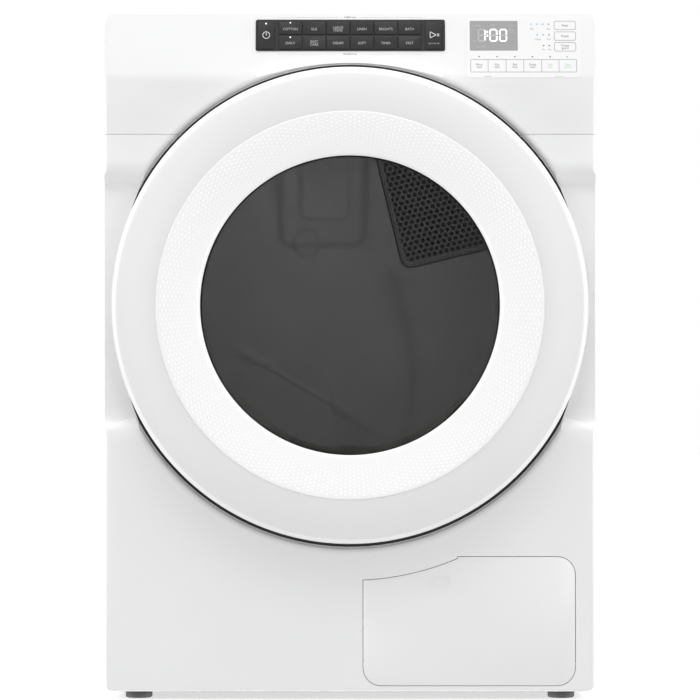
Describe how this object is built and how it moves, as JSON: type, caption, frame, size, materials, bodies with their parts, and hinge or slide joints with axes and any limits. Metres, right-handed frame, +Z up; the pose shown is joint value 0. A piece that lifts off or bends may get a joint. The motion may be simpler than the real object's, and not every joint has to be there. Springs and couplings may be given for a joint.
{
  "type": "clothes dryer",
  "caption": "Free-standing front-loading ventless clothes dryer: white steel cabinet, large round windowed door, leaning key console and lower access panel.",
  "frame": {"origin": "on the floor, under the middle of the machine's width and depth", "axes": "+Z up, the door faces -Y, +X to the right of someone facing the door"},
  "size_m": [0.686, 0.787, 0.9715],
  "materials": {
    "white_paint": "gloss white enamel on sheet steel",
    "white_plastic": "gloss white moulding",
    "ring_plastic": "satin white moulding",
    "trim_plastic": "gloss white with a printed dot pattern",
    "liner_plastic": "light grey moulding",
    "black_gloss": "near-black gloss",
    "overlay_film": "printed membrane film",
    "tinted_window": "dark tinted",
    "clear_glass": "clear",
    "dark_plastic": "dark olive-grey moulding",
    "filter_plastic": "dark moulding with fine mesh",
    "foot_plastic": "dark nylon",
    "black_plastic": "black moulding",
    "black_rubber": "black rubber",
    "grey_paint": "grey coated steel",
    "black_paint": "black enamel",
    "zinc_steel": "zinc plated",
    "drum_steel": "satin stainless",
    "motor_alloy": "die-cast end frames",
    "fin_aluminium": "pressed fins",
    "felt": "dense felt",
    "board_green": "circuit board"
  },
  "bodies": {
    "cabinet": {"base_pan": "dark_plastic", "drum_mouth": "dark_plastic", "side_panels": "white_paint", "rear_panel": "zinc_steel", "top_panel": "white_paint", "front_panel": "white_paint", "console_fascia": "white_plastic", "key_bezel": "black_gloss", "display_overlay": "overlay_film", "control_board": "board_green", "front_bulkhead": "dark_plastic", "rear_bulkhead": "grey_paint", "air_grille": "black_plastic", "drum_seals": "felt", "motor": "motor_alloy", "blower_housing": "dark_plastic", "compressor": "black_paint", "refrigerant_circuit": "fin_aluminium", "condenser_filter": "dark_plastic", "rear_fittings": "black_plastic", "door_latch": "black_plastic", "hinge_bracket": "zinc_steel", "cabinet_screws": "zinc_steel", "drum_belt": "black_rubber"},
    "door": {"door_outer_ring": "ring_plastic", "door_trim_ring": "trim_plastic", "door_window": "tinted_window", "door_inner_liner": "liner_plastic", "door_inner_glass": "clear_glass", "door_seal": "black_rubber", "door_strike": "zinc_steel", "door_hinge_leaf": "zinc_steel"},
    "drum": {"drum_shell": "drum_steel", "drum_baffles": "liner_plastic"},
    "left_roller": {"roller_left": "black_rubber"},
    "right_roller": {"roller_right": "black_rubber"},
    "rotor": {"motor_shaft": "zinc_steel", "blower_wheel": "dark_plastic"},
    "idler_arm": {"idler_arm": "zinc_steel"},
    "idler_pulley": {"idler_pulley": "black_plastic"},
    "lint_filter": {"lint_filter": "filter_plastic"},
    "access_panel": {"access_panel": "white_plastic"},
    "power_key": {"power_key": "black_gloss"},
    "start_key": {"start_key": "black_gloss"},
    "foot_front_left": {"foot_front_left": "foot_plastic"},
    "foot_front_right": {"foot_front_right": "foot_plastic"},
    "foot_rear_left": {"foot_rear_left": "foot_plastic"},
    "foot_rear_right": {"foot_rear_right": "foot_plastic"},
    "cycle_key_upper_1": {"cycle_key_upper_1": "black_gloss"},
    "cycle_key_upper_2": {"cycle_key_upper_2": "black_gloss"},
    "cycle_key_upper_3": {"cycle_key_upper_3": "black_gloss"},
    "cycle_key_upper_4": {"cycle_key_upper_4": "black_gloss"},
    "cycle_key_upper_5": {"cycle_key_upper_5": "black_gloss"},
    "cycle_key_upper_6": {"cycle_key_upper_6": "black_gloss"},
    "cycle_key_lower_1": {"cycle_key_lower_1": "black_gloss"},
    "cycle_key_lower_2": {"cycle_key_lower_2": "black_gloss"},
    "cycle_key_lower_3": {"cycle_key_lower_3": "black_gloss"},
    "cycle_key_lower_4": {"cycle_key_lower_4": "black_gloss"},
    "cycle_key_lower_5": {"cycle_key_lower_5": "black_gloss"},
    "cycle_key_lower_6": {"cycle_key_lower_6": "black_gloss"}
  },
  "joints": [
    {"name": "door_hinge", "type": "hinge", "parent": "cabinet", "child": "door", "pos_m": [0.322, -0.34, 0.555], "axis": [0, 0, 1], "range_deg": [0, 110]},
    {"name": "drum_spin", "type": "hinge", "parent": "cabinet", "child": "drum", "pos_m": [0, 0, 0.555], "axis": [0, 1, 0], "continuous": true},
    {"name": "left_roller_spin", "type": "hinge", "parent": "cabinet", "child": "left_roller", "pos_m": [-0.20649, 0.3125, 0.2601], "axis": [0, 1, 0], "continuous": true},
    {"name": "right_roller_spin", "type": "hinge", "parent": "cabinet", "child": "right_roller", "pos_m": [0.20649, 0.3125, 0.2601], "axis": [0, 1, 0], "continuous": true},
    {"name": "motor_spin", "type": "hinge", "parent": "cabinet", "child": "rotor", "pos_m": [-0.19, 0.145, 0.12], "axis": [0, 1, 0], "continuous": true},
    {"name": "idler_arm_swing", "type": "hinge", "parent": "cabinet", "child": "idler_arm", "pos_m": [0.01, 0.071, 0.075], "axis": [0, -1, 0], "range_deg": [0, 10], "stiffness_Nm_per_rad": 20, "springref_deg": -11.46},
    {"name": "idler_pulley_spin", "type": "hinge", "parent": "idler_arm", "child": "idler_pulley", "pos_m": [-0.07539, 0.06, 0.13425], "axis": [0, 1, 0], "continuous": true},
    {"name": "lint_filter_lift", "type": "slide", "parent": "cabinet", "child": "lint_filter", "axis": [0, 0, 1], "range_m": [0, 0.125]},
    {"name": "access_panel_hinge", "type": "hinge", "parent": "cabinet", "child": "access_panel", "pos_m": [0.16625, -0.3405, 0.0548], "axis": [1, 0, 0], "range_deg": [0, 90]},
    {"name": "foot_front_left_screw", "type": "slide", "parent": "cabinet", "child": "foot_front_left", "axis": [0, 0, -1], "range_m": [0, 0.025]},
    {"name": "foot_front_right_screw", "type": "slide", "parent": "cabinet", "child": "foot_front_right", "axis": [0, 0, -1], "range_m": [0, 0.025]},
    {"name": "foot_rear_left_screw", "type": "slide", "parent": "cabinet", "child": "foot_rear_left", "axis": [0, 0, -1], "range_m": [0, 0.025]},
    {"name": "foot_rear_right_screw", "type": "slide", "parent": "cabinet", "child": "foot_rear_right", "axis": [0, 0, -1], "range_m": [0, 0.025]},
    {"name": "power_key_press", "type": "slide", "parent": "cabinet", "child": "power_key", "axis": [0, 0.9703, -0.2419], "range_m": [0, 0.001], "stiffness_N_per_m": 2000, "springref_m": -0.0002},
    {"name": "start_key_press", "type": "slide", "parent": "cabinet", "child": "start_key", "axis": [0, 0.9703, -0.2419], "range_m": [0, 0.001], "stiffness_N_per_m": 2000, "springref_m": -0.0002},
    {"name": "cycle_key_upper_1_press", "type": "slide", "parent": "cabinet", "child": "cycle_key_upper_1", "axis": [0, 0.9703, -0.2419], "range_m": [0, 0.001], "stiffness_N_per_m": 2000, "springref_m": -0.0002},
    {"name": "cycle_key_upper_2_press", "type": "slide", "parent": "cabinet", "child": "cycle_key_upper_2", "axis": [0, 0.9703, -0.2419], "range_m": [0, 0.001], "stiffness_N_per_m": 2000, "springref_m": -0.0002},
    {"name": "cycle_key_upper_3_press", "type": "slide", "parent": "cabinet", "child": "cycle_key_upper_3", "axis": [0, 0.9703, -0.2419], "range_m": [0, 0.001], "stiffness_N_per_m": 2000, "springref_m": -0.0002},
    {"name": "cycle_key_upper_4_press", "type": "slide", "parent": "cabinet", "child": "cycle_key_upper_4", "axis": [0, 0.9703, -0.2419], "range_m": [0, 0.001], "stiffness_N_per_m": 2000, "springref_m": -0.0002},
    {"name": "cycle_key_upper_5_press", "type": "slide", "parent": "cabinet", "child": "cycle_key_upper_5", "axis": [0, 0.9703, -0.2419], "range_m": [0, 0.001], "stiffness_N_per_m": 2000, "springref_m": -0.0002},
    {"name": "cycle_key_upper_6_press", "type": "slide", "parent": "cabinet", "child": "cycle_key_upper_6", "axis": [0, 0.9703, -0.2419], "range_m": [0, 0.001], "stiffness_N_per_m": 2000, "springref_m": -0.0002},
    {"name": "cycle_key_lower_1_press", "type": "slide", "parent": "cabinet", "child": "cycle_key_lower_1", "axis": [0, 0.9703, -0.2419], "range_m": [0, 0.001], "stiffness_N_per_m": 2000, "springref_m": -0.0002},
    {"name": "cycle_key_lower_2_press", "type": "slide", "parent": "cabinet", "child": "cycle_key_lower_2", "axis": [0, 0.9703, -0.2419], "range_m": [0, 0.001], "stiffness_N_per_m": 2000, "springref_m": -0.0002},
    {"name": "cycle_key_lower_3_press", "type": "slide", "parent": "cabinet", "child": "cycle_key_lower_3", "axis": [0, 0.9703, -0.2419], "range_m": [0, 0.001], "stiffness_N_per_m": 2000, "springref_m": -0.0002},
    {"name": "cycle_key_lower_4_press", "type": "slide", "parent": "cabinet", "child": "cycle_key_lower_4", "axis": [0, 0.9703, -0.2419], "range_m": [0, 0.001], "stiffness_N_per_m": 2000, "springref_m": -0.0002},
    {"name": "cycle_key_lower_5_press", "type": "slide", "parent": "cabinet", "child": "cycle_key_lower_5", "axis": [0, 0.9703, -0.2419], "range_m": [0, 0.001], "stiffness_N_per_m": 2000, "springref_m": -0.0002},
    {"name": "cycle_key_lower_6_press", "type": "slide", "parent": "cabinet", "child": "cycle_key_lower_6", "axis": [0, 0.9703, -0.2419], "range_m": [0, 0.001], "stiffness_N_per_m": 2000, "springref_m": -0.0002}
  ],
  "couplings": [
    {"joint": "left_roller_spin", "follows": "drum_spin", "ratio": -9.366},
    {"joint": "right_roller_spin", "follows": "drum_spin", "ratio": -9.366},
    {"joint": "motor_spin", "follows": "drum_spin", "ratio": 28},
    {"joint": "idler_pulley_spin", "follows": "drum_spin", "ratio": -14.8}
  ]
}
